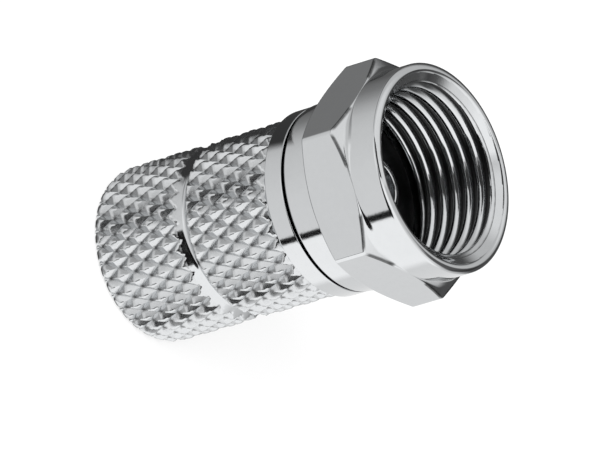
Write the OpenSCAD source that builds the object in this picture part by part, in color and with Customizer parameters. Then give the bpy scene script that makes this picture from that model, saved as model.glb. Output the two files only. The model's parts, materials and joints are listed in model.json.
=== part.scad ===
// Twist-on F connector for coaxial cable: a hexagonal coupling nut that turns freely on
// a diamond-knurled sleeve, held by the flange of an inner ferrule.
// It stands on the sleeve's rear face, with the mouth of the nut upwards.

/* [Sleeve] */
// Length of the sleeve, from its rear face to the face behind the nut
sleeve_l = 12.7; // [11:0.05:16]
// Diameter over the crests of the knurl
knurl_d = 9.3; // [9:0.05:10]
// Smooth collar at the front of the sleeve: diameter
collar_d = 9.76; // [9.4:0.02:10.4]
// Smooth collar: length
collar_l = 1.07; // [0.8:0.01:2.5]
// Smooth collar: chamfer at its front edge
collar_chamfer = 0.06; // [0.03:0.01:0.3]
// Plain neck behind the collar: width of its floor
neck_w = 0.15; // [0.05:0.05:0.5]
// Diameter of the bore that grips the cable's jacket
cable_d = 6.8; // [6.2:0.05:7.2]
// Depth of the cable bore from the rear face
cable_depth = 11.35; // [9:0.05:11.6]
// Lead-in chamfer at the cable bore's mouth
cable_chamfer = 0.35; // [0.1:0.05:0.6]

/* [Knurl] */
// Width of one diamond, measured around the sleeve
diamond_w = 0.92; // [0.7:0.01:1.6]
// Length of one diamond, measured along the sleeve
diamond_l = 1.65; // [1.2:0.05:2.6]
// Height of the diamonds from root to crest
diamond_h = 0.28; // [0.15:0.01:0.35]
// Height of a row in which the even columns are at their root
root_row_z = 1.22; // [0:0.02:1.6]
// Turn of the first column about the axis
knurl_turn = 3.5; // [-6:0.1:6]
// Angle of the turned front end of each band, from the axis
band_front_angle = 42; // [30:1:60]
// Angle of the turned rear end of the front band, from the axis
band_rear_angle = 52; // [30:1:60]
// Angle of the bevel at the rear end of the rear band, from the axis
lip_angle = 24; // [10:1:45]
// How far that bevel lies below the crests at the lip
lip_sink = 0.2; // [0.05:0.01:0.27]
// Plain lip left behind the rear band
rear_lip = 0.12; // [0.05:0.01:0.4]
// Plain groove between the two knurled bands: width of its floor
groove_w = 0.22; // [0.1:0.02:1.5]
// Plain groove and neck: how far their floors lie below the knurl's root
groove_sink = 0.19; // [0.03:0.01:0.3]
// Distance from the rear face to the groove's floor
groove_z = 5.68; // [3:0.02:7]

/* [Coupling nut] */
// Length of the nut
nut_l = 6.4; // [5.5:0.05:8]
// Size across the flats
flats_w = 11; // [10.6:0.1:13]
// Diameter over the skimmed corners
corners_d = 12.6; // [12.3:0.05:14.5]
// How far the front collar is turned below the flats
front_skim = 0.02; // [0.01:0.01:0.2]
// Distance from the mouth to the front end of the corners
corner_front = 2.25; // [1.5:0.05:2.6]
// Distance from the mouth to the rear end of the corners
corner_rear = 4.1; // [3.2:0.05:4.4]
// Angle of the corner chamfers, from a plane square to the axis
chamfer_angle = 30; // [20:1:35]
// Diameter of the rear neck
neck_d = 9.84; // [9.5:0.02:10.4]
// Small chamfer on the outer edges of the nut
edge_chamfer = 0.08; // [0.03:0.01:0.15]

/* [Coupling thread] */
// Major diameter of the 3/8-32 thread
thread_d = 9.525; // [9.4:0.005:9.6]
// Pitch of the thread, 32 to the inch
thread_pitch = 0.79375; // [0.7:0.00625:0.8]
// Height of the thread's ridges as a share of the pitch
thread_share = 0.49; // [0.4:0.01:0.6]
// Diameter of the countersink at the mouth
mouth_d = 9.95; // [9.7:0.05:10.4]
// Angle of the countersink, from the axis
sink_angle = 58; // [45:1:65]
// Distance from the mouth to the end of the last full turn
thread_end = 4.05; // [3.6:0.05:4.8]
// Diameter of the plain bore behind the thread
relief_d = 9.1; // [8.8:0.02:9.3]
// Thickness of the nut's rear wall
nut_wall = 0.6; // [0.4:0.05:0.8]

/* [Ferrule] */
// Outer diameter of the ferrule's barrel
barrel_d = 6; // [5.6:0.05:6.4]
// Thickness of the flange that holds the nut
flange_t = 0.45; // [0.3:0.05:0.6]
// Bore for the cable's dielectric
dielectric_d = 4.9; // [4.5:0.05:5.1]
// Thickness of the wall in front of that bore
ferrule_wall = 0.65; // [0.5:0.05:0.9]
// Outer diameter of the nose
nose_d = 3.1; // [2.8:0.05:3.6]
// How far the nose stops short of the thread's last full turn
nose_setback = 0.05; // [0.03:0.01:0.4]
// Bore of the nose, for the cable's inner conductor
nose_bore_d = 2.5; // [1.4:0.05:2.6]

/* [Clearances] */
// Gap between the nut's rear face and the sleeve
nut_gap = 0.2; // [0.03:0.01:0.3]
// End play of the flange in front of the nut's rear wall
flange_play = 0.05; // [0.02:0.01:0.15]
// Radial clearance between the nut's rear wall and the barrel
barrel_play = 0.05; // [0.02:0.01:0.1]
// Radial clearance between the flange and the nut's plain bore
flange_clear = 0.25; // [0.08:0.01:0.4]
// Radial interference of the barrel in the sleeve
press_fit = 0.01; // [0.005:0.005:0.03]

/* [Hidden] */
$fn = 96;
plate_colour = [0.78, 0.79, 0.8];
// Heights above the rear face
nut_rear = sleeve_l + nut_gap;
nut_front = nut_rear + nut_l;
wall_front = nut_rear + nut_wall;
flange_rear = wall_front + flange_play;
flange_front = flange_rear + flange_t;
thread_rear = nut_front - thread_end;
nose_front = thread_rear - nose_setback;
collar_rear = sleeve_l - collar_l;
groove_front = groove_z + groove_w;
neck_z = collar_rear - neck_w;
// Radii
crest_r = knurl_d / 2;
root_r = crest_r - diamond_h;
core_r = root_r - groove_sink;
// The bands reach this deep into the sleeve's core
band_root = 0.1;
chamfer_slope = tan(chamfer_angle);
thread_minor_r = thread_d / 2 - thread_share * thread_pitch;

// Radius of a column of the knurl at a height: crests and roots alternate along it
function knurl_r(i, z) =
    let (place = (z - root_row_z) / diamond_l + (i % 2) / 2)
    root_r + diamond_h * (1 - abs(2 * (place - floor(place)) - 1));

// Heights of the rows of crests and roots between two heights, clear of both ends
function row_heights(low, high) =
    let (half = diamond_l / 2, clear = half / 8)
    [for (k = [ceil((low + clear - root_row_z) / half) : 1 : floor((high - clear - root_row_z) / half)])
        root_row_z + k * half];

// One ring of points around the band, no further out than a limit. A limit below the roots
// makes a plain ring, which closes the band on its inside.
function knurl_ring(columns, z, limit_r) =
    [for (i = [0:columns - 1])
        let (a = knurl_turn + 360 * i / columns, r = min(knurl_r(i, z), limit_r))
        [r * cos(a), r * sin(a), z]];

// The two triangles between neighbouring rings, split along the valley between two diamonds
function knurl_cell(a, b, c, d, root_first) =
    root_first ? [[a, b, d], [b, c, d]] : [[a, b, c], [a, c, d]];

// One band of raised diamonds, as a closed ring with turned ends. The front end runs down
// to the core at z1. The rear end begins at z0, rear_sink below the crests.
module knurl_band(z0, z1, rear_sink, rear_angle) {
    columns = 2 * round(PI * knurl_d / diamond_w);
    front_slope = tan(band_front_angle);
    rear_slope = tan(rear_angle);
    below_root = max(0, rear_sink - diamond_h);
    inner_r = core_r - band_root;
    start = z0 + below_root / rear_slope;
    end = z1 - groove_sink / front_slope;
    heights = concat([start], row_heights(start, end), [end]);
    rings = len(heights) + 2;
    points = concat(
        [for (z = heights) each knurl_ring(columns, z,
            min(crest_r - rear_sink + (z - z0) * rear_slope, core_r + (z1 - z) * front_slope))],
        knurl_ring(columns, z1 + band_root / front_slope, inner_r),
        knurl_ring(columns, z0 - (below_root > 0 ? band_root / rear_slope : 0), inner_r));
    faces = [for (ring = [0:rings - 1], i = [0:columns - 1])
        let (
            up = (ring + 1) % rings,
            j = (i + 1) % columns,
            row = ring + 1 < len(heights)
                ? floor(((heights[ring] + heights[up]) / 2 - root_row_z) / (diamond_l / 2)) : 0)
        each knurl_cell(ring * columns + j, ring * columns + i, up * columns + i, up * columns + j,
            (i + row) % 2 == 0)];
    polyhedron(points = points, faces = faces, convexity = 4);
}

// The knurled sleeve: one turned piece, bored for the cable and for the ferrule
module sleeve() {
    collar_r = collar_d / 2;
    cable_r = cable_d / 2;
    seat_r = barrel_d / 2 - press_fit;
    color(plate_colour) {
        rotate_extrude()
            polygon([
                [cable_r + cable_chamfer, 0],
                [core_r, 0],
                [core_r, collar_rear],
                [collar_r, collar_rear],
                [collar_r, sleeve_l - collar_chamfer],
                [collar_r - collar_chamfer, sleeve_l],
                [seat_r, sleeve_l],
                [seat_r, cable_depth],
                [cable_r, cable_depth],
                [cable_r, cable_chamfer]]);
        knurl_band(rear_lip, groove_z, lip_sink, lip_angle);
        knurl_band(groove_front, neck_z, crest_r - core_r, band_rear_angle);
    }
}

// The ferrule: barrel pressed into the sleeve, flange that holds the nut, nose with a fine bore
module ferrule() {
    barrel_r = barrel_d / 2;
    flange_r = relief_d / 2 - flange_clear;
    nose_r = nose_d / 2;
    color(plate_colour)
        rotate_extrude()
            polygon([
                [dielectric_d / 2, cable_depth],
                [barrel_r, cable_depth],
                [barrel_r, flange_rear],
                [flange_r, flange_rear],
                [flange_r, flange_front],
                [nose_r, flange_front],
                [nose_r, nose_front],
                [nose_bore_d / 2, nose_front],
                [nose_bore_d / 2, flange_front - ferrule_wall],
                [dielectric_d / 2, flange_front - ferrule_wall]]);
}

// Turned outline of the nut's outside: front collar, two corner chamfers and rear neck
module nut_outline() {
    collar_r = flats_w / 2 - front_skim;
    corner_r = corners_d / 2;
    neck_r = neck_d / 2;
    front_z = nut_front - corner_front;
    rear_z = nut_front - corner_rear;
    rotate_extrude()
        polygon([
            [0, nut_rear],
            [neck_r - edge_chamfer, nut_rear],
            [neck_r, nut_rear + edge_chamfer],
            [neck_r, rear_z - (corner_r - neck_r) * chamfer_slope],
            [corner_r, rear_z],
            [corner_r, front_z],
            [collar_r, front_z + (corner_r - collar_r) * chamfer_slope],
            [collar_r, nut_front - edge_chamfer],
            [collar_r - edge_chamfer, nut_front],
            [0, nut_front]]);
}

// Everything that is bored out of the nut: countersink, thread, plain bore and rear hole
module nut_bore() {
    mouth_r = mouth_d / 2;
    over = 1;
    rotate_extrude()
        polygon([
            [0, nut_rear - over],
            [barrel_d / 2 + barrel_play, nut_rear - over],
            [barrel_d / 2 + barrel_play, wall_front],
            [relief_d / 2, wall_front],
            [relief_d / 2, thread_rear],
            [thread_minor_r, thread_rear],
            [thread_minor_r, nut_front - (mouth_r - thread_minor_r) / tan(sink_angle)],
            [mouth_r, nut_front],
            [mouth_r, nut_front + over],
            [0, nut_front + over]]);
}

// The coupling nut: a hexagonal bar, turned outside and bored through
module coupling_nut() {
    across_corners = flats_w / cos(30);
    color(plate_colour)
        difference() {
            intersection() {
                translate([0, 0, nut_rear])
                    cylinder(d = across_corners, h = nut_l, $fn = 6);
                nut_outline();
            }
            nut_bore();
        }
}

sleeve();
ferrule();
coupling_nut();
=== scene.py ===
import json
import logging
import math
from dataclasses import dataclass
from enum import Enum
from functools import partialmethod

import bmesh
import bpy
import numpy as np
from mathutils import Matrix, Vector

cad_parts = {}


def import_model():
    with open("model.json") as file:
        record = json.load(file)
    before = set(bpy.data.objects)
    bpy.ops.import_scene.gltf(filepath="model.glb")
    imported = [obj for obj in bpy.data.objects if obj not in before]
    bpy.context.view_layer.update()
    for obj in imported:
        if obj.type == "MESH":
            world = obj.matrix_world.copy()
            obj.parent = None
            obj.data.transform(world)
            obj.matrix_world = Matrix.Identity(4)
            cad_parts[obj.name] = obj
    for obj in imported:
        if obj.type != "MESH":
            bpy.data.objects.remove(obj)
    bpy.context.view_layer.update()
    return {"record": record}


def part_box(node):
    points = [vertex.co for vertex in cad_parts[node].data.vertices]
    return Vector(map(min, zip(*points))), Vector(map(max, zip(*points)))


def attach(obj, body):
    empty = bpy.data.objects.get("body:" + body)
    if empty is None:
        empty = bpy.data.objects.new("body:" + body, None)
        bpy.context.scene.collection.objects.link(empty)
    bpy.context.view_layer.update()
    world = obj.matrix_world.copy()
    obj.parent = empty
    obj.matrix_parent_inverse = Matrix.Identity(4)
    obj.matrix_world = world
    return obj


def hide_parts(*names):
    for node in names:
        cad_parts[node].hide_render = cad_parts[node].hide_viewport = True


LOG = logging.getLogger("coax_connector")
MM = 0.001
FULL_TURN = 2.0 * math.pi
SIXTH = FULL_TURN / 6.0
DEGREES = 180.0 / math.pi
WELD_MM = 0.0002
CREASE_DEG = 66.0
ROUNDING_FACES = 4
ROUNDING_SHARE = 0.45
HOLD_SHARE = 0.1


class Finish(Enum):
    """The record's material slots, by the piece that each one dresses."""

    SLEEVE = "sleeve_plating"
    FERRULE = "ferrule_plating"
    NUT = "nut_plating"


class Socket:
    """An output of a node. Its Python operators add Math nodes to the same tree."""

    def __init__(self, graph: "Graph", link: bpy.types.NodeSocket) -> None:
        """Keeps the tree's graph and the output that this socket stands for."""
        self.graph = graph
        self.link = link

    def math(self, operation: str, *others: "Socket | float", swap: bool = False) -> "Socket":
        """Adds one Math node.

        Args:
            operation: the Math node's operation.
            others: the values that follow this one.
            swap: puts this socket second, for an operator with a number on its left.

        Returns:
            The node's result.
        """
        values = [self, *others]
        if swap:
            values.reverse()
        return self.graph.add("ShaderNodeMath", dict(enumerate(values)), operation=operation)

    __add__ = partialmethod(math, "ADD")
    __radd__ = partialmethod(math, "ADD", swap=True)
    __sub__ = partialmethod(math, "SUBTRACT")
    __rsub__ = partialmethod(math, "SUBTRACT", swap=True)
    __mul__ = partialmethod(math, "MULTIPLY")
    __rmul__ = partialmethod(math, "MULTIPLY", swap=True)
    __truediv__ = partialmethod(math, "DIVIDE")
    __rtruediv__ = partialmethod(math, "DIVIDE", swap=True)

    def clamp(self) -> "Socket":
        """This value held between 0 and 1."""
        return self.math("MINIMUM", 1.0).math("MAXIMUM", 0.0)

    def smooth(self) -> "Socket":
        """An eased ramp of a value that runs from 0 to 1."""
        return self * self * (3.0 - 2.0 * self)

    def step(self, low: "Socket | float", high: float) -> "Socket":
        """An eased step from 0 at low to 1 at high."""
        return ((self - low) / (high - low)).clamp().smooth()

    def window(self, low: float, full: float, fading: float, gone: float) -> "Socket":
        """Rises from 0 at low to 1 at full, and falls from 1 at fading to 0 at gone."""
        return self.step(low, full) * (1.0 - self.step(fading, gone))

    def within(self, low: float, high: "Socket | float") -> "Socket":
        """1 between two values, and 0 outside them."""
        return self.math("GREATER_THAN", low) * self.math("LESS_THAN", high)

    def triangle(self) -> "Socket":
        """A wave that is 0 at whole numbers and 1 halfway between them."""
        return 1.0 - 2.0 * (self.math("FRACT") - 0.5).math("ABSOLUTE")


class Graph:
    """Adds nodes to one node tree, for shaders and for geometry alike."""

    def __init__(self, tree: bpy.types.NodeTree) -> None:
        """Keeps the tree that the nodes go into."""
        self.tree = tree

    def node(self, kind: str, inputs: dict | None = None, **settings: object) -> bpy.types.Node:
        """Adds one node.

        Args:
            kind: the node's type.
            inputs: a value or a Socket for each input, by name or place.
            **settings: the node's own properties, set before its inputs.

        Returns:
            The new node.
        """
        made = self.tree.nodes.new(kind)
        for name, value in settings.items():
            setattr(made, name, value)
        for key, value in (inputs or {}).items():
            self.feed(made.inputs[key], value)
        return made

    def add(self, kind: str, inputs: dict | None = None, output: str | int = 0,
            **settings: object) -> Socket:
        """Adds one node, as node() does, and returns the output that is asked for."""
        return Socket(self, self.node(kind, inputs, **settings).outputs[output])

    def split(self, vector: Socket) -> list[Socket]:
        """Adds a node that parts a vector into its x, y and z."""
        parts = self.node("ShaderNodeSeparateXYZ", {"Vector": vector})
        return [Socket(self, parts.outputs[name]) for name in "XYZ"]

    def feed(self, target: bpy.types.NodeSocket, value: object) -> None:
        """Links a Socket to an input, or sets the input's own value."""
        if isinstance(value, Socket):
            self.tree.links.new(value.link, target)
        else:
            target.default_value = value

    def along(self, vector: Socket, axis: Vector) -> Socket:
        """Adds a node that measures how far a vector reaches along an axis."""
        return self.add("ShaderNodeVectorMath", {0: vector, 1: tuple(axis)}, "Value",
                        operation="DOT_PRODUCT")

    def levels(self, degrees: Socket, stops: tuple[tuple[float, float], ...]) -> Socket:
        """Adds a grey ramp over an angle.

        Args:
            degrees: the angle.
            stops: pairs of degrees and level.

        Returns:
            The level at that angle.
        """
        made = self.node("ShaderNodeValToRGB", {"Fac": degrees / 360.0})
        elements = made.color_ramp.elements
        while len(elements) < len(stops):
            elements.new(1.0)
        for element, (place, level) in zip(elements, stops):
            element.position = place / 360.0
            element.color = (level, level, level, 1.0)
        return Socket(self, made.outputs["Color"])


def linked(name: str, data: bpy.types.ID) -> bpy.types.Object:
    """Makes an object from its data, and links it to the scene."""
    made = bpy.data.objects.new(name, data)
    bpy.context.scene.collection.objects.link(made)
    return made


def emptied(holder: bpy.types.Material | bpy.types.World) -> Graph:
    """Clears the nodes of a material or of the world, and returns their graph."""
    holder.use_nodes = True
    holder.node_tree.nodes.clear()
    return Graph(holder.node_tree)


@dataclass(frozen=True)
class Spot:
    """Where a point of a piece lies: its angle, its radius and height in mm, and a fine noise there."""

    turn: Socket
    radius: Socket
    height: Socket
    grain: Socket


@dataclass(frozen=True)
class PlatedFinish:
    """Bright plating over machined brass, with the marks of the tool still under it."""

    slot: Finish
    colour: tuple[float, float, float] = (0.62, 0.632, 0.642)
    dark_tint: float = 0.93
    pale_tint: float = 1.05
    roughness: float = 0.075
    patch_mm: float = 3.15
    patch_share: float = 0.6
    grain_mm: float = 0.35
    grain_h: float = 0.6
    pit_mm: float = 0.12
    pit_h: float = 0.5
    mark_mm: float = 0.10
    mark_h: float = 0.2
    mark_reach: float = 50.0
    bump_mm: float = 0.004
    bump_strength: float = 0.35
    # Grey of the painted shade that subclasses lay where shade falls, and the roughness it adds.
    painted_shade_level: float = 0.06
    painted_shade_roughness: float = 0.25

    def material(self) -> bpy.types.Material:
        """Builds the finish.

        Returns:
            A metal whose colour, roughness and bump vary finely over the piece, with painted shade
            mixed into its colour where a subclass lays it.
        """
        made = bpy.data.materials.new(self.slot.value)
        graph = emptied(made)
        place = graph.add("ShaderNodeTexCoord", output="Object")
        stretched = graph.add("ShaderNodeVectorMath", {
            0: place, 1: (1.0 / self.mark_reach, 1.0 / self.mark_reach, 1.0)}, operation="MULTIPLY")
        grain = self.noise(graph, place, self.grain_mm, 3.0)
        pits = self.noise(graph, place, self.pit_mm, 2.0)
        marks = self.noise(graph, stretched, self.mark_mm, 3.0)
        patch = self.noise(graph, place, self.patch_mm, 2.0)
        east, north, up = graph.split(place)
        radius = (east * east + north * north).math("SQRT") / MM
        painted_shade, worn = self.painted_shade_and_roughness(Spot(north.math("ARCTAN2", east), radius, up / MM, grain))
        tint = graph.add("ShaderNodeMix", {
            "Factor": (patch * self.patch_share + grain * (1.0 - self.patch_share)).clamp(),
            "A": (*[self.dark_tint * part for part in self.colour], 1.0),
            "B": (*[self.pale_tint * part for part in self.colour], 1.0)}, "Result", data_type="RGBA")
        # Darkens the colour towards the painted shade's grey.
        tint = graph.add("ShaderNodeMix", {
            "Factor": painted_shade, "A": tint, "B": (*[self.painted_shade_level] * 3, 1.0)}, "Result",
            data_type="RGBA")
        rough = self.roughness * (0.7 + 0.35 * grain + 0.25 * patch) + painted_shade * self.painted_shade_roughness
        bump = graph.add("ShaderNodeBump", {
            "Strength": self.bump_strength, "Distance": self.bump_mm * MM,
            "Height": marks * self.mark_h + pits * self.pit_h + grain * self.grain_h})
        shader = graph.add("ShaderNodeBsdfPrincipled", {
            "Base Color": tint, "Metallic": 1.0, "Roughness": rough + worn, "Normal": bump})
        graph.node("ShaderNodeOutputMaterial", {"Surface": shader})
        return made

    def painted_shade_and_roughness(self, spot: Spot) -> tuple[Socket | float, Socket | float]:
        """The painted shade and the extra roughness at a place. Plain plating has neither."""
        return 0.0, 0.0

    @staticmethod
    def noise(graph: Graph, place: Socket, size_mm: float, detail: float) -> Socket:
        """Adds one noise whose features are about size_mm across."""
        return graph.add("ShaderNodeTexNoise", {
            "Vector": place, "Scale": 1.0 / (size_mm * MM), "Detail": detail, "Roughness": 0.55},
            "Fac")


@dataclass(frozen=True, kw_only=True)
class BoreFinish(PlatedFinish):
    """The same plating on a bored piece, with painted shade darkening its inner corners."""

    # The painted shade lies between two heights, and deepens from an inner radius to an outer one.
    below_z: float
    above_z: float
    shade_start_r: float
    shade_full_r: float
    outer_r: float = 5.0
    uneven_mm: float = 0.06
    darkness: float = 0.95
    painted_shade_level: float = 0.02

    def painted_shade_and_roughness(self, spot: Spot) -> tuple[Socket | float, Socket | float]:
        """Paints shade between two heights, from none at an inner radius to full at an outer one.

        Args:
            spot: the place on the piece.

        Returns:
            The painted shade, and no extra roughness.
        """
        uneven = (spot.grain - 0.5) * self.uneven_mm
        # Painted shade, darker outward across the bore's inner corners.
        painted_shade = (spot.radius + uneven).step(self.shade_start_r, self.shade_full_r)
        inside = (spot.height.within(self.above_z, self.below_z)
                  * spot.radius.math("LESS_THAN", self.outer_r))
        return painted_shade * inside * self.darkness, 0.0


@dataclass(frozen=True, kw_only=True)
class NutFinish(BoreFinish):
    """The nut's plating: painted shade in its bore, and a painted shadow line where a front chamfer
    meets its flat.
    """

    flats_r: float
    corner_r: float
    corner_z: float
    chamfer_deg: float
    line_w: float = 0.11
    line_edge: float = 0.8
    from_middle_deg: float = 12.0
    to_corner_deg: float = 29.5
    fade_deg: float = 2.0

    def painted_shade_and_roughness(self, spot: Spot) -> tuple[Socket | float, Socket | float]:
        """Adds painted shadow lines, which fade out towards a flat's middle and at its corners.

        Args:
            spot: the place on the piece.

        Returns:
            The dark film, and no extra roughness.
        """
        painted_shade, worn = super().painted_shade_and_roughness(spot)
        off_flat = (spot.turn / SIXTH + 6.0).math("FRACT") * SIXTH - SIXTH / 2.0
        slope = math.tan(math.radians(self.chamfer_deg))
        edge_z = self.corner_z + (self.corner_r - self.flats_r / off_flat.math("COSINE")) * slope
        off_line = (spot.height - edge_z).math("ABSOLUTE") / (self.line_w / 2.0)
        aside = off_flat.math("ABSOLUTE") * DEGREES
        reached = (((aside - self.from_middle_deg) / self.fade_deg).clamp()
                   * ((self.to_corner_deg - aside) / self.fade_deg).clamp())
        outside = spot.radius.math("GREATER_THAN", self.outer_r)
        # A painted shadow line along the edge where the chamfer meets the flat.
        line = (1.0 + self.line_edge - off_line).clamp() * reached * outside
        return painted_shade + line * (0.6 + spot.grain * 0.4), worn


@dataclass(frozen=True)
class KnurlLayout:
    """Where the diamonds of the sleeve lie, for its mesh and for its finish alike."""

    diamonds: int = 32
    diamond_l: float = 1.65
    first_turn: float = math.radians(3.5)
    first_height: float = 1.22
    floor_r: float = 4.20
    bands: tuple[tuple[float, float], ...] = ((0.12, 5.40), (5.98, 11.20))


@dataclass(frozen=True)
class KnurlFinish(PlatedFinish):
    """The same plating on the sleeve, with duller diamonds and painted shade in the pits where valleys
    cross.
    """

    layout: KnurlLayout = KnurlLayout()
    # Strength, reach and lift of the painted shade in the pits.
    pit_darkness: float = 0.85
    pit_reach: float = 0.74
    pit_lift: float = 0.20
    dullness: float = 0.16

    def painted_shade_and_roughness(self, spot: Spot) -> tuple[Socket | float, Socket | float]:
        """Finds the pits and the bands from the knurl's layout.

        Args:
            spot: the place on the piece.

        Returns:
            The painted shade in the pits, and the extra roughness of the diamonds.
        """
        around = (spot.turn - self.layout.first_turn) / FULL_TURN * self.layout.diamonds
        along = (spot.height - self.layout.first_height - self.pit_lift) / self.layout.diamond_l
        apart = (around + along).triangle() + (around - along).triangle()
        # Painted shade, strongest just above where the valleys cross.
        pit = 1.0 - ((apart + (spot.grain - 0.5) * 0.25) / self.pit_reach).clamp().smooth()
        in_band = 0.0
        for bottom, top in self.layout.bands:
            in_band = spot.height.within(bottom, top) + in_band
        diamonds = in_band * spot.radius.math("GREATER_THAN", self.layout.floor_r)
        return pit * diamonds * self.pit_darkness, diamonds * self.dullness


class Shell:
    """Points in millimetres and the faces between them, before they become one closed mesh."""

    def __init__(self) -> None:
        """Starts empty."""
        self.points: list[np.ndarray] = []
        self.faces: list[tuple[int, ...]] = []

    def take(self, points: np.ndarray) -> int:
        """Adds points and returns the number of the first."""
        first = sum(len(block) for block in self.points)
        self.points.append(points.reshape(-1, 3))
        return first

    def grid(self, rings: np.ndarray, closed_rows: bool = False) -> None:
        """Adds a sheet that runs round the axis.

        Args:
            rings: points as rows, columns and xyz, with each row one ring.
            closed_rows: joins the last ring to the first, for a closed section.
        """
        first = self.take(rings)
        rows, columns = rings.shape[:2]
        for row in range(rows if closed_rows else rows - 1):
            low, high = row * columns, ((row + 1) % rows) * columns
            for column in range(columns):
                following = (column + 1) % columns
                self.faces.append((first + low + column, first + low + following,
                                   first + high + following, first + high + column))

    def stitch(self, outer: np.ndarray, inner: np.ndarray) -> None:
        """Joins two rings that have different numbers of points.

        Args:
            outer: the first ring's points, by rising angle from 0.
            inner: the second ring's points, by rising angle from 0.
        """
        one, two = self.take(outer), self.take(inner)
        turns = [ring_angles(outer), ring_angles(inner)]
        i, j = 0, 0
        while i < len(outer) or j < len(inner):
            here, there = one + i % len(outer), two + j % len(inner)
            if j == len(inner) or (i < len(outer) and turns[0][i + 1] <= turns[1][j + 1]):
                self.faces.append((here, one + (i + 1) % len(outer), there))
                i += 1
            else:
                self.faces.append((here, two + (j + 1) % len(inner), there))
                j += 1

    def absorb(self, mesh: bpy.types.Mesh) -> None:
        """Takes over a mesh.

        Args:
            mesh: a mesh in millimetres, which is deleted afterwards.
        """
        points = np.zeros(len(mesh.vertices) * 3)
        mesh.vertices.foreach_get("co", points)
        first = self.take(points)
        self.faces += [tuple(first + v for v in face.vertices) for face in mesh.polygons]
        bpy.data.meshes.remove(mesh)

    def piece(self, name: str, material: bpy.types.Material, crease_deg: float) -> bpy.types.Object:
        """Welds everything into one closed mesh in metres.

        Args:
            name: the piece's name.
            material: its finish.
            crease_deg: the least angle between faces that is drawn as a sharp edge.

        Returns:
            The piece, linked to the scene at the origin.
        """
        mesh = bpy.data.meshes.new(name)
        mesh.from_pydata(np.vstack(self.points) * MM, [], self.faces)
        work = bmesh.new()
        work.from_mesh(mesh)
        bmesh.ops.remove_doubles(work, verts=work.verts, dist=WELD_MM * MM)
        bmesh.ops.dissolve_degenerate(work, edges=work.edges, dist=WELD_MM * MM)
        bmesh.ops.recalc_face_normals(work, faces=work.faces)
        open_edges = sum(1 for edge in work.edges if len(edge.link_faces) != 2)
        work.to_mesh(mesh)
        work.free()
        mesh.shade_smooth()
        mesh.set_sharp_from_angle(angle=math.radians(crease_deg))
        mesh.materials.append(material)
        triangles = sum(len(face.vertices) - 2 for face in mesh.polygons)
        LOG.info("%s: %d triangles, %d open edges", name, triangles, open_edges)
        return linked(name, mesh)


def ring_angles(ring: np.ndarray) -> np.ndarray:
    """Angles of a ring's points as turns from 0, with a full turn added at the end."""
    turns = np.arctan2(ring[:, 1], ring[:, 0]) / FULL_TURN
    return np.append(turns % 1.0, 1.0)


def lathe(profile: list[tuple[float, float]], columns: int, first_turn: float = 0.0) -> np.ndarray:
    """Turns a profile round the axis.

    Args:
        profile: pairs of radius and height in millimetres.
        columns: points in each ring.
        first_turn: the first point's angle.

    Returns:
        Points as rings, columns and xyz.
    """
    turn = first_turn + np.arange(columns) * FULL_TURN / columns
    radius, height = np.array(profile).T
    return np.stack([radius[:, None] * np.cos(turn), radius[:, None] * np.sin(turn),
                     height[:, None] * np.ones(columns)], axis=-1)


def eased(corners: list[tuple[float, float, float]]) -> list[tuple[float, float]]:
    """Rounds the corners of a profile, and holds the flats beside each curve flat.

    Args:
        corners: radius, height and rounding of each corner in millimetres, with 0 at an open end.

    Returns:
        Pairs of radius and height.
    """
    profile: list[tuple[float, float]] = []
    for index, (*place, rounding) in enumerate(corners):
        point = np.array(place)
        if rounding == 0.0:
            profile.append(tuple(point))
            continue
        back = np.array(corners[index - 1][:2]) - point
        ahead = np.array(corners[(index + 1) % len(corners)][:2]) - point
        reach = min(rounding, ROUNDING_SHARE * np.linalg.norm(back),
                    ROUNDING_SHARE * np.linalg.norm(ahead))
        back, ahead = back / np.linalg.norm(back), ahead / np.linalg.norm(ahead)
        start, finish = point + back * reach, point + ahead * reach
        hold = HOLD_SHARE * reach
        profile.append(tuple(start + back * hold))
        for share in np.linspace(0.0, 1.0, ROUNDING_FACES + 1):
            bend = (1 - share) ** 2 * start + 2 * share * (1 - share) * point + share ** 2 * finish
            profile.append(tuple(bend))
        profile.append(tuple(finish + ahead * hold))
    return profile


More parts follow.
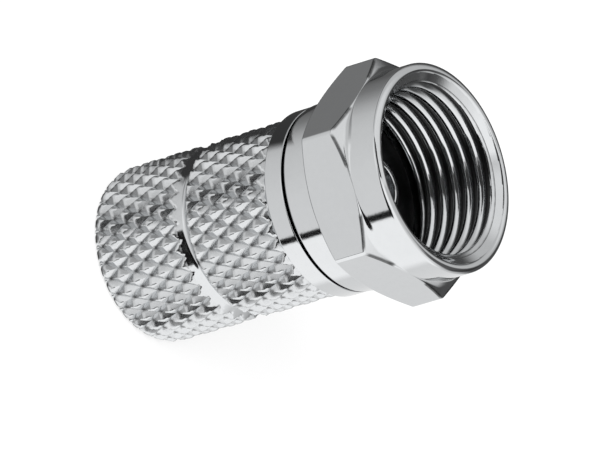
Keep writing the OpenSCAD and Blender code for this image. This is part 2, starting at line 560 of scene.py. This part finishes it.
class PatternTree:
    """A Geometry Nodes tree that rolls a flat grid round the axis and shapes its radius."""

    name = "pattern"

    def __init__(self) -> None:
        """Builds the tree, with one named input for each of its sizes."""
        self.tree = bpy.data.node_groups.new(self.name, "GeometryNodeTree")
        self.graph = Graph(self.tree)
        self.tree.interface.new_socket("Geometry", in_out="INPUT", socket_type="NodeSocketGeometry")
        self.tree.interface.new_socket("Geometry", in_out="OUTPUT", socket_type="NodeSocketGeometry")
        self.sizes = self.graph.node("NodeGroupInput")
        self.build()

    def size(self, name: str, kind: str = "Float") -> Socket:
        """Adds a named input of a kind and returns its value."""
        self.tree.interface.new_socket(name, in_out="INPUT", socket_type=f"NodeSocket{kind}")
        return Socket(self.graph, self.sizes.outputs[name])

    def flat_grid(self, columns: Socket, rows: Socket) -> tuple[Socket, Socket, Socket]:
        """Adds a grid with one unit to each cell.

        Args:
            columns: cells round the axis.
            rows: cells along it.

        Returns:
            The mesh, each point's column and each point's row.
        """
        mesh = self.graph.add("GeometryNodeMeshGrid", {
            "Size X": columns, "Size Y": rows,
            "Vertices X": columns + 1.0, "Vertices Y": rows + 1.0})
        east, north, _ = self.graph.split(self.graph.add("GeometryNodeInputPosition"))
        return mesh, east + columns * 0.5, north + rows * 0.5

    def around_axis(self, turn: Socket, radius: Socket | float, height: Socket) -> Socket:
        """Adds the place at an angle, radius and height."""
        return self.graph.add("ShaderNodeCombineXYZ", {
            "X": turn.math("COSINE") * radius, "Y": turn.math("SINE") * radius, "Z": height})

    def roll(self, mesh: Socket, turn: Socket, radius: Socket, height: Socket, finish: Socket) -> None:
        """Wraps the grid round the axis, welds its seam and ends the tree.

        Args:
            mesh: the flat grid.
            turn: each point's angle.
            radius: each point's radius.
            height: each point's height.
            finish: the material that the result wears.
        """
        moved = self.graph.add("GeometryNodeSetPosition", {
            "Geometry": mesh, "Position": self.around_axis(turn, radius, height)})
        welded = self.graph.add("GeometryNodeMergeByDistance", {
            "Geometry": moved, "Distance": WELD_MM})
        real = self.graph.add("GeometryNodeRealizeInstances", {"Geometry": welded})
        dressed = self.graph.add("GeometryNodeSetMaterial", {
            "Geometry": real, "Material": finish})
        self.graph.node("NodeGroupOutput", {"Geometry": dressed})

    def build(self) -> None:
        """Adds the nodes that make the pattern."""
        raise NotImplementedError

    def mesh(self, sizes: dict[str, float], finish: bpy.types.Material) -> bpy.types.Mesh:
        """Runs the tree once.

        Args:
            sizes: a value for each named input.
            finish: the material that the tree sets.

        Returns:
            The result as a plain mesh, in millimetres.
        """
        holder = linked(self.name, bpy.data.meshes.new(self.name))
        modifier = holder.modifiers.new(self.name, "NODES")
        modifier.node_group = self.tree
        values = {**sizes, "Finish": finish}
        for item in self.tree.interface.items_tree:
            if item.name in values:
                modifier[item.identifier] = values[item.name]
        seen = holder.evaluated_get(bpy.context.evaluated_depsgraph_get())
        result = bpy.data.meshes.new_from_object(seen)
        holder.modifiers.clear()
        blank = holder.data
        bpy.data.objects.remove(holder)
        bpy.data.meshes.remove(blank)
        return result


class DiamondKnurl(PatternTree):
    """Raised diamonds round a band, with the band's two end walls."""

    name = "diamond_knurl"
    crest_ease = 0.12
    wander_r = 4.6
    wander_scale = 1.3

    def build(self) -> None:
        """Cuts two families of helical valleys, which leave diamonds between them."""
        around = self.size("Diamonds", "Int")
        fine = self.size("Steps in half a diamond", "Int")
        bottom, top, crest, depth, length, floor, first_turn, first_height = map(self.size, (
            "Bottom", "Top", "Crest radius", "Depth", "Diamond length", "Floor radius", "First turn",
            "First height"))
        blunt, wobble, rear_bevel, rear_slope, front_bevel, front_slope = map(self.size, (
            "Blunt share", "Wobble", "Rear bevel", "Rear slope", "Front bevel", "Front slope"))
        finish = self.size("Finish", "Material")
        half = length * 0.5
        start = first_height + ((bottom - first_height) / half).math("FLOOR") * half
        cells = ((top - start) / half).math("CEIL")
        rows = cells * fine + 2.0
        mesh, column, row = self.flat_grid(around * fine * 2.0, rows)
        step = (row - 1.0).math("MAXIMUM", 0.0) / (fine * 2.0)
        place = column / (fine * 2.0)
        height = (start + step * length).math("MAXIMUM", bottom).math("MINIMUM", top)
        along = (height - first_height) / length
        mesh = self.split_along_valleys(mesh, place, step + (start - first_height) / length)
        turn = first_turn + place * FULL_TURN / around
        rise = (place + along).triangle().math("MINIMUM", (place - along).triangle())
        rise = rise.math("SMOOTH_MIN", blunt, self.crest_ease)
        edge = (crest - (rear_bevel - (height - bottom) * rear_slope).math("MAXIMUM", 0.0)
                - (front_bevel - (top - height) * front_slope).math("MAXIMUM", 0.0))
        uneven = self.unevenness(turn, height) * wobble
        tooth = (crest - depth + depth * rise / blunt + uneven).math("MINIMUM", edge)
        is_tooth = row.within(0.5, rows - 0.5)
        radius = tooth * is_tooth + floor * (1.0 - is_tooth)
        self.roll(mesh, turn, radius, height, finish)

    def unevenness(self, turn: Socket, height: Socket) -> Socket:
        """Adds a slow wander of the crests, from -1 to 1, which closes on itself."""
        noise = self.graph.add("ShaderNodeTexNoise", {
            "Vector": self.around_axis(turn, self.wander_r, height), "Scale": self.wander_scale,
            "Detail": 2.0}, "Fac")
        return noise * 2.0 - 1.0

    def split_along_valleys(self, mesh: Socket, place: Socket, step: Socket) -> Socket:
        """Splits each cell along the valley that crosses it.

        Args:
            mesh: the flat grid.
            place: each cell's place round the axis, in diamonds.
            step: each cell's place along it, in diamonds.

        Returns:
            The mesh in triangles.
        """
        cell = (place * 2.0).math("FLOOR") + (step * 2.0 + 0.001).math("FLOOR")
        parity = (cell * 0.5).math("FRACT")
        rising = self.graph.add("FunctionNodeCompare", {"A": parity, "B": 0.25}, operation="LESS_THAN")
        halved = self.graph.add("GeometryNodeTriangulate", {"Mesh": mesh, "Selection": rising},
                                quad_method="FIXED")
        return self.graph.add("GeometryNodeTriangulate", {"Mesh": halved},
                              quad_method="FIXED_ALTERNATE")


class InternalThread(PatternTree):
    """A right-hand thread inside a bore, with a countersunk mouth and a run-out at its rear."""

    name = "internal_thread"

    def build(self) -> None:
        """Lays the grid's rows along the helix, so that each crest is one smooth line."""
        columns = self.size("Columns", "Int")
        fine = self.size("Steps in a pitch", "Int")
        bottom, top, pitch, minor, major, rear, mouth = map(self.size, (
            "Bottom", "Top", "Pitch", "Minor radius", "Major radius", "Rear radius", "Mouth radius"))
        run_out, crest, phase, sink = map(self.size, (
            "Run-out", "Crest share", "Phase", "Countersink slope"))
        finish = self.size("Finish", "Material")
        turns = ((top - bottom) / pitch).math("CEIL") + 1.0
        mesh, column, row = self.flat_grid(columns, turns * fine)
        turn = column * FULL_TURN / columns
        lead = column / columns
        height = bottom + (row / fine + lead - 1.0) * pitch
        height = height.math("MAXIMUM", bottom).math("MINIMUM", top)
        wave = ((height - bottom) / pitch - lead + phase).triangle()
        groove = wave.step(crest, 1.0)
        start = ((height - bottom) / run_out).clamp().smooth()
        cut = minor + (major - minor) * groove
        radius = rear + (cut - rear) * start
        radius = radius.math("SMOOTH_MAX", mouth - (top - height) * sink, 0.05)
        self.roll(mesh, turn, radius, height, finish)


@dataclass
class KnurledSleeve:
    """The sleeve that is gripped and turned on to the cable: knurled outside, threaded inside."""

    length: float
    collar_r: float
    crest_r: float = 4.65
    depth: float = 0.28
    core_r: float = 4.18
    layout: KnurlLayout = KnurlLayout()
    rear_lip: float = 0.12
    rear_band_top: float = 5.68
    groove_w: float = 0.22
    neck_z: float = 11.48
    collar_l: float = 1.07
    cable_r: float = 3.40
    cable_depth: float = 11.35
    seat_r: float = 2.99
    grip_pitch: float = 1.05
    grip_depth: float = 0.26
    grip_end: float = 0.9
    mouth_w: float = 0.35
    fine: int = 6

    def build(self, knurl: DiamondKnurl, thread: InternalThread,
              finish: PlatedFinish) -> bpy.types.Object:
        """Builds the sleeve as one closed mesh.

        Args:
            knurl: the tree that makes a knurled band.
            thread: the tree that makes the cable's gripping thread.
            finish: the sleeve's plating.

        Returns:
            The dressed piece.
        """
        material = finish.material()
        shell = Shell()
        collar_z = self.length - self.collar_l
        front_z = self.rear_band_top + self.groove_w
        rear_band = {"Bottom": self.rear_lip, "Top": self.rear_band_top,
                     "Rear bevel": 0.20, "Rear slope": 0.45}
        front_band = {"Bottom": front_z, "Top": self.neck_z,
                      "Rear bevel": self.crest_r - self.core_r, "Rear slope": 1.3}
        for ends in (rear_band, front_band):
            shell.absorb(knurl.mesh(self.band_sizes() | ends, material))
        columns = 2 * self.layout.diamonds * self.fine
        mouth_r = self.cable_r + self.mouth_w
        bore_top = self.cable_depth - self.grip_end
        shell.absorb(thread.mesh({
            "Columns": columns, "Steps in a pitch": 10, "Bottom": -bore_top, "Top": 0.0,
            "Pitch": self.grip_pitch, "Minor radius": self.cable_r - self.grip_depth,
            "Major radius": self.cable_r, "Rear radius": self.cable_r, "Mouth radius": mouth_r,
            "Run-out": 0.7, "Crest share": 0.15, "Phase": 0.0, "Countersink slope": 1.0}, material))
        self.face_rear(shell.points[-1])
        rear = eased([(mouth_r, 0.0, 0.0), (self.core_r + 0.02, 0.0, 0.05),
                      (self.core_r, self.rear_lip, 0.0)])
        groove = [(self.core_r, self.rear_band_top), (self.core_r, front_z)]
        front = eased([
            (self.core_r, self.neck_z, 0.0),
            (self.core_r, collar_z, 0.04),
            (self.collar_r, collar_z, 0.05),
            (self.collar_r, self.length, 0.06),
            (self.seat_r, self.length, 0.04),
            (self.seat_r, self.cable_depth, 0.02),
            (self.cable_r, self.cable_depth, 0.05),
            (self.cable_r, bore_top, 0.0)])
        for profile in (rear, groove, front):
            shell.grid(lathe(profile, columns, self.layout.first_turn))
        return shell.piece("knurled_sleeve", material, CREASE_DEG)

    def face_rear(self, thread: np.ndarray) -> None:
        """Turns a thread's points end for end, and lines its columns up with the knurl's."""
        thread[:, 1:] *= -1.0
        thread[:] = thread @ np.array(Matrix.Rotation(-self.layout.first_turn, 3, "Z"))

    def band_sizes(self) -> dict[str, float]:
        """The knurl's sizes that both bands share."""
        return {"Diamonds": self.layout.diamonds, "Steps in half a diamond": self.fine,
                "Crest radius": self.crest_r, "Depth": self.depth,
                "Diamond length": self.layout.diamond_l, "Floor radius": self.core_r,
                "First turn": self.layout.first_turn,
                "First height": self.layout.first_height, "Blunt share": 0.80, "Wobble": 0.03,
                "Front bevel": self.crest_r - self.core_r, "Front slope": 0.9}


@dataclass
class PressedFerrule:
    """The tube pressed into the sleeve, with the flange that holds the nut and a fine nose."""

    bottom: float
    top: float
    flange_r: float
    barrel_r: float = 3.0
    flange_rear: float = 13.55
    flange_t: float = 0.45
    nose_r: float = 1.55
    nose_bore_r: float = 1.25
    bore_r: float = 2.45
    wall: float = 0.65
    columns: int = 128
    crease_deg: float = 60.0

    def build(self, finish: PlatedFinish) -> bpy.types.Object:
        """Builds the ferrule as one closed turned mesh.

        Args:
            finish: the ferrule's plating.

        Returns:
            The dressed piece.
        """
        material = finish.material()
        front = self.flange_rear + self.flange_t
        floor = front - self.wall
        profile = eased([
            (self.bore_r, self.bottom, 0.05),
            (self.barrel_r, self.bottom, 0.08),
            (self.barrel_r, self.flange_rear, 0.04),
            (self.flange_r, self.flange_rear, 0.06),
            (self.flange_r, front, 0.08),
            (self.nose_r, front, 0.12),
            (self.nose_r, self.top, 0.08),
            (self.nose_bore_r, self.top, 0.08),
            (self.nose_bore_r, floor, 0.05),
            (self.bore_r, floor, 0.05)])
        shell = Shell()
        shell.grid(lathe(profile, self.columns), closed_rows=True)
        return shell.piece("pressed_ferrule", material, self.crease_deg)


@dataclass
class HexNut:
    """The hexagonal coupling nut: chamfered corners, turned neck and collar, threaded bore."""

    rear: float
    front: float
    flats_r: float
    corner_r: float
    thread_minor_r: float
    collar_r: float = 5.48
    neck_r: float = 4.92
    rear_face_w: float = 0.5
    corner_front: float = 2.25
    corner_rear: float = 4.10
    chamfer_deg: float = 30.0
    mouth_r: float = 4.975
    lip_w: float = 0.05
    lip_drop: float = 0.08
    sink_deg: float = 58.0
    thread_major_r: float = 4.7625
    pitch: float = 0.79375
    thread_end: float = 5.10
    relief_r: float = 4.55
    hole_r: float = 3.05
    wall: float = 0.60
    corner_ease: float = 0.012
    corner_reach: float = 3.2
    corner_columns: int = 9
    flat_columns: int = 14
    rim_bevel_w: float = 0.12
    rim_bevel_h: float = 0.14
    rim_crown_w: float = 0.26
    rim_crown_h: float = 0.045
    thread_columns: int = 256

    def build(self, thread: InternalThread, finish: PlatedFinish) -> bpy.types.Object:
        """Builds the nut as one closed mesh.

        Args:
            thread: the tree that makes the coupling thread.
            finish: the nut's plating.

        Returns:
            The dressed piece.
        """
        material = finish.material()
        shell = Shell()
        outside = self.outside()
        shell.grid(outside)
        thread_rear = self.front - self.thread_end
        thread_top = self.front - self.lip_drop
        floor = self.rear + self.wall
        shell.absorb(thread.mesh({
            "Columns": self.thread_columns, "Steps in a pitch": 24, "Bottom": thread_rear,
            "Top": thread_top, "Pitch": self.pitch, "Minor radius": self.thread_minor_r,
            "Major radius": self.thread_major_r, "Rear radius": self.relief_r,
            "Mouth radius": self.mouth_r, "Run-out": 0.35, "Crest share": 0.1,
            "Phase": 0.25, "Countersink slope": math.tan(math.radians(self.sink_deg))}, material))
        mouth = lathe([(self.mouth_r, thread_top)], self.thread_columns)[0]
        shell.stitch(outside[-1], mouth)
        inside = lathe(eased([
            (self.relief_r, thread_rear, 0.0),
            (self.relief_r, floor, 0.08),
            (self.hole_r, floor, 0.05),
            (self.hole_r, self.rear, 0.05),
            (self.neck_r - self.rear_face_w, self.rear, 0.0)]), self.thread_columns)
        shell.grid(inside)
        shell.stitch(outside[0], inside[-1])
        return shell.piece("hex_coupling_nut", material, CREASE_DEG)

    def outside(self) -> np.ndarray:
        """Shapes the outside as rings that follow the chamfers, from the rear face to the rim."""
        columns = [[(radius * math.cos(turn), radius * math.sin(turn), height)
                    for radius, height in self.section(self.hex_radius(turn))]
                   for turn in self.column_angles()]
        return np.array(columns).transpose(1, 0, 2)

    def column_angles(self) -> list[float]:
        """Places the columns round the hexagon.

        Returns:
            Their angles, close together at the six corners.
        """
        corner = math.acos(self.flats_r / self.corner_r)
        fine = (SIXTH / 2.0 - corner) * self.corner_reach
        across = [*np.linspace(0.0, fine, self.corner_columns),
                  *np.linspace(fine, SIXTH / 2.0, self.flat_columns)[1:]]
        half = [*across[:-1], *[SIXTH - angle for angle in reversed(across)][:-1]]
        return [side * SIXTH + angle for side in range(6) for angle in half]

    def hex_radius(self, turn: float) -> float:
        """Radius of the hexagon, with its corners skimmed and eased.

        Args:
            turn: the angle round the axis.

        Returns:
            The radius in millimetres.
        """
        off_flat = (turn % SIXTH) - SIXTH / 2.0
        flat = self.flats_r / math.cos(off_flat)
        gap = (self.corner_r - flat) / self.corner_ease
        return flat - self.corner_ease * math.log1p(math.exp(-gap))

    def section(self, side_r: float) -> list[tuple[float, float]]:
        """One column's outline from the rear face to the rim.

        Args:
            side_r: the hexagon's radius at this column.

        Returns:
            Pairs of radius and height, as many for every column.
        """
        slope = math.tan(math.radians(self.chamfer_deg))
        corner_low = self.front - self.corner_rear
        corner_high = self.front - self.corner_front
        drop = self.corner_r - side_r
        neck_z = corner_low - (self.corner_r - self.neck_r) * slope
        collar_z = corner_high + (self.corner_r - self.collar_r) * slope
        return eased([
            (self.neck_r - self.rear_face_w, self.rear, 0.0),
            (self.neck_r, self.rear, 0.09),
            (self.neck_r, neck_z, 0.10),
            (side_r, corner_low - drop * slope, 0.05),
            (side_r, corner_high + drop * slope, 0.05),
            (self.collar_r, collar_z, 0.30),
            (self.collar_r, self.front - self.rim_bevel_h, 0.10),
            (self.collar_r - self.rim_bevel_w, self.front - self.rim_crown_h, 0.08),
            (self.collar_r - self.rim_crown_w, self.front, 0.08),
            (self.mouth_r + self.lip_w, self.front, 0.0)])


# Levels of the mirrored studio by degrees round the axis: low down, at the horizon, and high up.
LOW_LEVELS = (
    (0, 0.06), (12, 0.09), (36, 0.095), (48, 0.155), (60, 0.20), (72, 0.30), (84, 0.44), (96, 0.56),
    (110, 0.63), (160, 0.71), (206, 0.74), (212, 1.0), (278, 1.0), (288, 0.74), (352, 0.72),
    (360, 0.06))
HORIZON_LEVELS = (
    (0, 0.055), (40, 0.08), (70, 0.12), (95, 0.26), (120, 0.42), (136, 0.82), (150, 0.92), (164, 0.80),
    (180, 0.68), (206, 0.70), (214, 1.0), (278, 1.0), (290, 0.66), (312, 0.50), (324, 0.08),
    (360, 0.055))
HIGH_LEVELS = (
    (0, 0.52), (90, 0.55), (140, 0.64), (172, 0.85), (186, 1.0), (262, 1.0), (300, 0.72), (360, 0.52))

# Corners of the black cards in millimetres, towards the side, towards the near side and up the axis.
CARDS_MM = {
    "sleeve_flag": ((6.7, -12.0, 1.6), (6.7, 5.0, 1.6), (6.7, 5.0, 11.0), (6.7, -12.0, 11.0)),
    "mouth_flag": ((0.6, 6.0, 20.6), (4.2, 6.0, 20.6), (9.5, 6.0, 45.0), (1.6, 6.0, 45.0)),
    "crest_flag": ((-0.25, -3.65, 24.0), (1.7, -3.65, 24.0), (1.8, -0.8, 24.0), (-0.25, -0.8, 24.0))}


@dataclass
class Studio:
    """The camera, the pale floor, and the soft surroundings that the bright metal mirrors."""

    glare: float = 1.3
    overhead_lift: float = 0.24
    wedge_darkness: float = 0.99
    dusk_darkness: float = 0.85
    near_deg: float = -88.1
    view_deg: float = 54.1
    roll_deg: float = 16.7
    distance: float = 480.0
    lens: float = 573.12
    shift_right: float = -7.226
    shift_up: float = -2.889
    floor_reach: float = 3000.0
    floor_glow: float = 0.72
    fade_z: float = 7.0
    fade_lean: float = 0.2
    fade_near: tuple[float, float] = (2.2, 3.6)
    fade_top: float = 12.0
    lamp_aim: tuple[float, float, float] = (0.25, 0.5, 0.75)
    lamp_size_mm: float = 500.0
    lamp_off_mm: float = 600.0
    lamp_watts: float = 3.0

    def __post_init__(self) -> None:
        """Works out the directions that the view and the surroundings share."""
        near = math.radians(self.near_deg)
        tilt, roll = math.radians(self.view_deg), math.radians(self.roll_deg)
        self.axis = Vector((0.0, 0.0, 1.0))
        self.near = Vector((math.cos(near), math.sin(near), 0.0))
        self.side = Vector((math.sin(near), -math.cos(near), 0.0))
        self.view = math.cos(tilt) * self.axis + math.sin(tilt) * self.near
        along = math.sin(tilt) * self.axis - math.cos(tilt) * self.near
        self.right = math.cos(roll) * along - math.sin(roll) * self.side
        self.up = math.sin(roll) * along + math.cos(roll) * self.side

    def place(self, side: float, near: float, up: float) -> Vector:
        """The place so far to the side, towards the near side and up the axis."""
        return side * self.side + near * self.near + up * self.axis

    def build(self, rim_z: float) -> None:
        """Builds the stage.

        Args:
            rim_z: height of the nut's rim, which the view is set out from, in millimetres.
        """
        self.place_camera(rim_z)
        self.place_floor()
        self.place_cards()
        self.place_lamp()
        self.paint_surroundings()
        bpy.context.scene.view_settings.view_transform = "Standard"

    def place_camera(self, rim_z: float) -> None:
        """Sets the camera at its angle, with the roll that lays the connector across the frame.

        Args:
            rim_z: height of the nut's rim in millimetres.
        """
        data = bpy.data.cameras.new("camera")
        data.lens = self.lens
        data.clip_end = 10.0
        made = linked("camera", data)
        place = (rim_z * self.axis + self.shift_right * self.right + self.shift_up * self.up
                 + self.distance * self.view)
        rows = [(*turned, at * MM) for *turned, at in zip(self.right, self.up, self.view, place)]
        made.matrix_world = Matrix([*rows, (0.0, 0.0, 0.0, 1.0)])
        bpy.context.scene.camera = made

    @staticmethod
    def sheet(name: str, corners_mm: list[tuple[float, float, float]],
              material: bpy.types.Material) -> bpy.types.Object:
        """Adds one flat sheet to the stage.

        Args:
            name: the sheet's name.
            corners_mm: its four corners in millimetres.
            material: what it wears.

        Returns:
            The sheet, linked to the scene.
        """
        mesh = bpy.data.meshes.new(name)
        mesh.from_pydata([tuple(Vector(corner) * MM) for corner in corners_mm], [], [(0, 1, 2, 3)])
        mesh.materials.append(material)
        made = linked(name, mesh)
        return made

    def place_floor(self) -> None:
        """Lays the floor: white to the eye, still shaded by the connector, unseen by its metal."""
        material = bpy.data.materials.new("floor_paper")
        graph = emptied(material)
        paper = graph.add("ShaderNodeBsdfDiffuse", {"Color": (0.9, 0.9, 0.9, 1.0)})
        glow = graph.add("ShaderNodeEmission", {"Color": (1.0, 1.0, 1.0, 1.0)})
        seen = graph.add("ShaderNodeLightPath", output="Is Camera Ray")
        mixed = graph.add("ShaderNodeMixShader", {0: seen * self.floor_glow, 1: paper, 2: glow})
        graph.node("ShaderNodeOutputMaterial", {"Surface": mixed})
        far = self.floor_reach
        floor = self.sheet("floor", [(-far, -far, 0), (far, -far, 0), (far, far, 0), (-far, far, 0)],
                           material)
        floor.visible_glossy = False

    def place_cards(self) -> None:
        """Hangs the black cards, which only the metal mirrors."""
        for name, corners in CARDS_MM.items():
            card = self.sheet(name, [self.place(*corner) for corner in corners], self.card_paper(name))
            card.visible_camera = False
            card.visible_diffuse = False
            card.visible_shadow = False

    def card_paper(self, name: str) -> bpy.types.Material:
        """Makes a card's black, which fades out towards the near side low down.

        Args:
            name: the material's name.

        Returns:
            The material.
        """
        material = bpy.data.materials.new(name)
        graph = emptied(material)
        place = graph.add("ShaderNodeTexCoord", output="Object")
        near, up = (graph.along(place, axis) / MM for axis in (self.near, self.axis))
        near = near - (up - self.fade_z) * self.fade_lean
        faded = near.step(*self.fade_near) * up.math("LESS_THAN", self.fade_top)
        black = graph.add("ShaderNodeEmission", {"Color": (0.05, 0.05, 0.05, 1.0)})
        clear = graph.add("ShaderNodeBsdfTransparent")
        mixed = graph.add("ShaderNodeMixShader", {0: faded, 1: black, 2: clear})
        graph.node("ShaderNodeOutputMaterial", {"Surface": mixed})
        return material

    def place_lamp(self) -> None:
        """Hangs one large soft lamp over the near side."""
        data = bpy.data.lights.new("softbox", "AREA")
        data.shape = "DISK"
        data.size = self.lamp_size_mm * MM
        data.energy = self.lamp_watts
        made = linked("softbox", data)
        aim = self.place(*self.lamp_aim).normalized()
        made.matrix_world = aim.to_track_quat("Z", "Y").to_matrix().to_4x4()
        made.location = aim * self.lamp_off_mm * MM
        made.visible_glossy = False

    def paint_surroundings(self) -> None:
        """Lights the world with plain white, and shows the painted studio to the metal only."""
        world = bpy.data.worlds.new("studio")
        bpy.context.scene.world = world
        graph = emptied(world)
        mirrored = self.mirrored(graph)
        glossy = graph.add("ShaderNodeLightPath", output="Is Glossy Ray")
        through = graph.add("ShaderNodeLightPath", output="Is Transmission Ray")
        shown = graph.add("ShaderNodeMix", {
            "Factor": (glossy + through).clamp(), "A": (1.0, 1.0, 1.0, 1.0), "B": mirrored},
            "Result", data_type="RGBA")
        light = graph.add("ShaderNodeBackground", {"Color": shown, "Strength": 1.0})
        graph.node("ShaderNodeOutputWorld", {"Surface": light})

    def mirrored(self, graph: Graph) -> Socket:
        """Paints white paper with dark flags, by the angle round the axis and the climb over it.

        Args:
            graph: the world's nodes.

        Returns:
            The light level of each direction.
        """
        toward = graph.add("ShaderNodeTexCoord", output="Generated")
        near, side, rise = (graph.along(toward, axis)
                            for axis in (self.near, self.side, self.axis))
        around = side.math("ARCTAN2", near * -1.0) * DEGREES
        around = around + 360.0 * around.math("LESS_THAN", 0.0)
        climb = rise.math("ARCSINE") * DEGREES
        low, horizon, high = (graph.levels(around, stops)
                              for stops in (LOW_LEVELS, HORIZON_LEVELS, HIGH_LEVELS))
        # Low down it darkens under the connector, apart from the side that the floor lights.
        floor_side = around.window(205.0, 235.0, 325.0, 345.0)
        sinking = (climb.step(-68.0, -38.0) * 0.6 + 0.4).math("MAXIMUM", floor_side)
        rising = climb.step(-24.0, -8.0)
        overhead = climb.step(34.0, 50.0) * (1.0 - around.step(100.0, 150.0))
        lifted = (climb + side * 14.0).step(16.0, 34.0)
        level = low * sinking * (1.0 - rising) + horizon * rising
        open_sky = level * (1.0 - lifted) + (high + self.overhead_lift * overhead) * lifted
        # The wedge is a black flag that widens as it rises, and the dusk a grey one high up behind.
        above_wedge = climb + 36.0
        wedge = (around + above_wedge * 0.6).step(205.0, 208.0)
        wedge = wedge * (1.0 - (around + above_wedge * 0.04).step(213.0, 216.0))
        wedge = wedge * (1.0 - climb.step(48.0, 52.0))
        dusk = around.window(296.0, 311.0, 340.0, 352.0)
        dusk = dusk * climb.window(18.0, 28.0, 50.0, 60.0)
        dimmed = (1.0 - wedge * self.wedge_darkness) * (1.0 - dusk * self.dusk_darkness)
        return open_sky * dimmed * self.glare


def reach(node: str) -> tuple[float, float, float]:
    """A CAD node's lowest and highest place and its radius along X, in millimetres."""
    low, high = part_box(node)
    return low.z / MM, high.z / MM, high.x / MM


def main() -> None:
    """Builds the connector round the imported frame, piece by piece, and sets the stage."""
    logging.basicConfig(level=logging.INFO, format="%(name)s: %(message)s")
    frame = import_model()
    knurl, thread = DiamondKnurl(), InternalThread()
    mounts = {mount["name"]: mount for mount in frame["record"]["mounts"]}
    thread_r = mounts["coupling_thread"]["dims"]["r_mm"]

    _, sleeve_top, collar_r = reach("sleeve")
    sleeve = KnurledSleeve(sleeve_top, collar_r).build(knurl, thread, KnurlFinish(Finish.SLEEVE))
    ferrule_low, ferrule_top, flange_r = reach("ferrule")
    # Both bores below get painted shade darkening their inner corners.
    ferrule = PressedFerrule(ferrule_low, ferrule_top, flange_r).build(BoreFinish(
        Finish.FERRULE, below_z=14.2, above_z=13.0, shade_start_r=1.6, shade_full_r=1.9))
    nut_low, nut_top, corner_r = reach("coupling_nut")
    flats_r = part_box("coupling_nut")[1].y / MM
    hexagon = HexNut(nut_low, nut_top, flats_r, corner_r, thread_r)
    nut = hexagon.build(thread, NutFinish(
        Finish.NUT, below_z=19.0, above_z=13.2, shade_start_r=4.52, shade_full_r=4.66, outer_r=4.85,
        flats_r=flats_r, corner_r=corner_r, corner_z=nut_top - hexagon.corner_front,
        chamfer_deg=hexagon.chamfer_deg))

    for piece, node, body, finish in (
            (sleeve, "sleeve", "sleeve_body", Finish.SLEEVE),
            (ferrule, "ferrule", "sleeve_body", Finish.FERRULE),
            (nut, "coupling_nut", "nut_body", Finish.NUT)):
        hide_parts(node)
        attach(piece, body)
        LOG.info("%s stands for %s on %s", piece.name, node, body)

    Studio().build(nut_top)


if __name__ == "__main__":
    main()
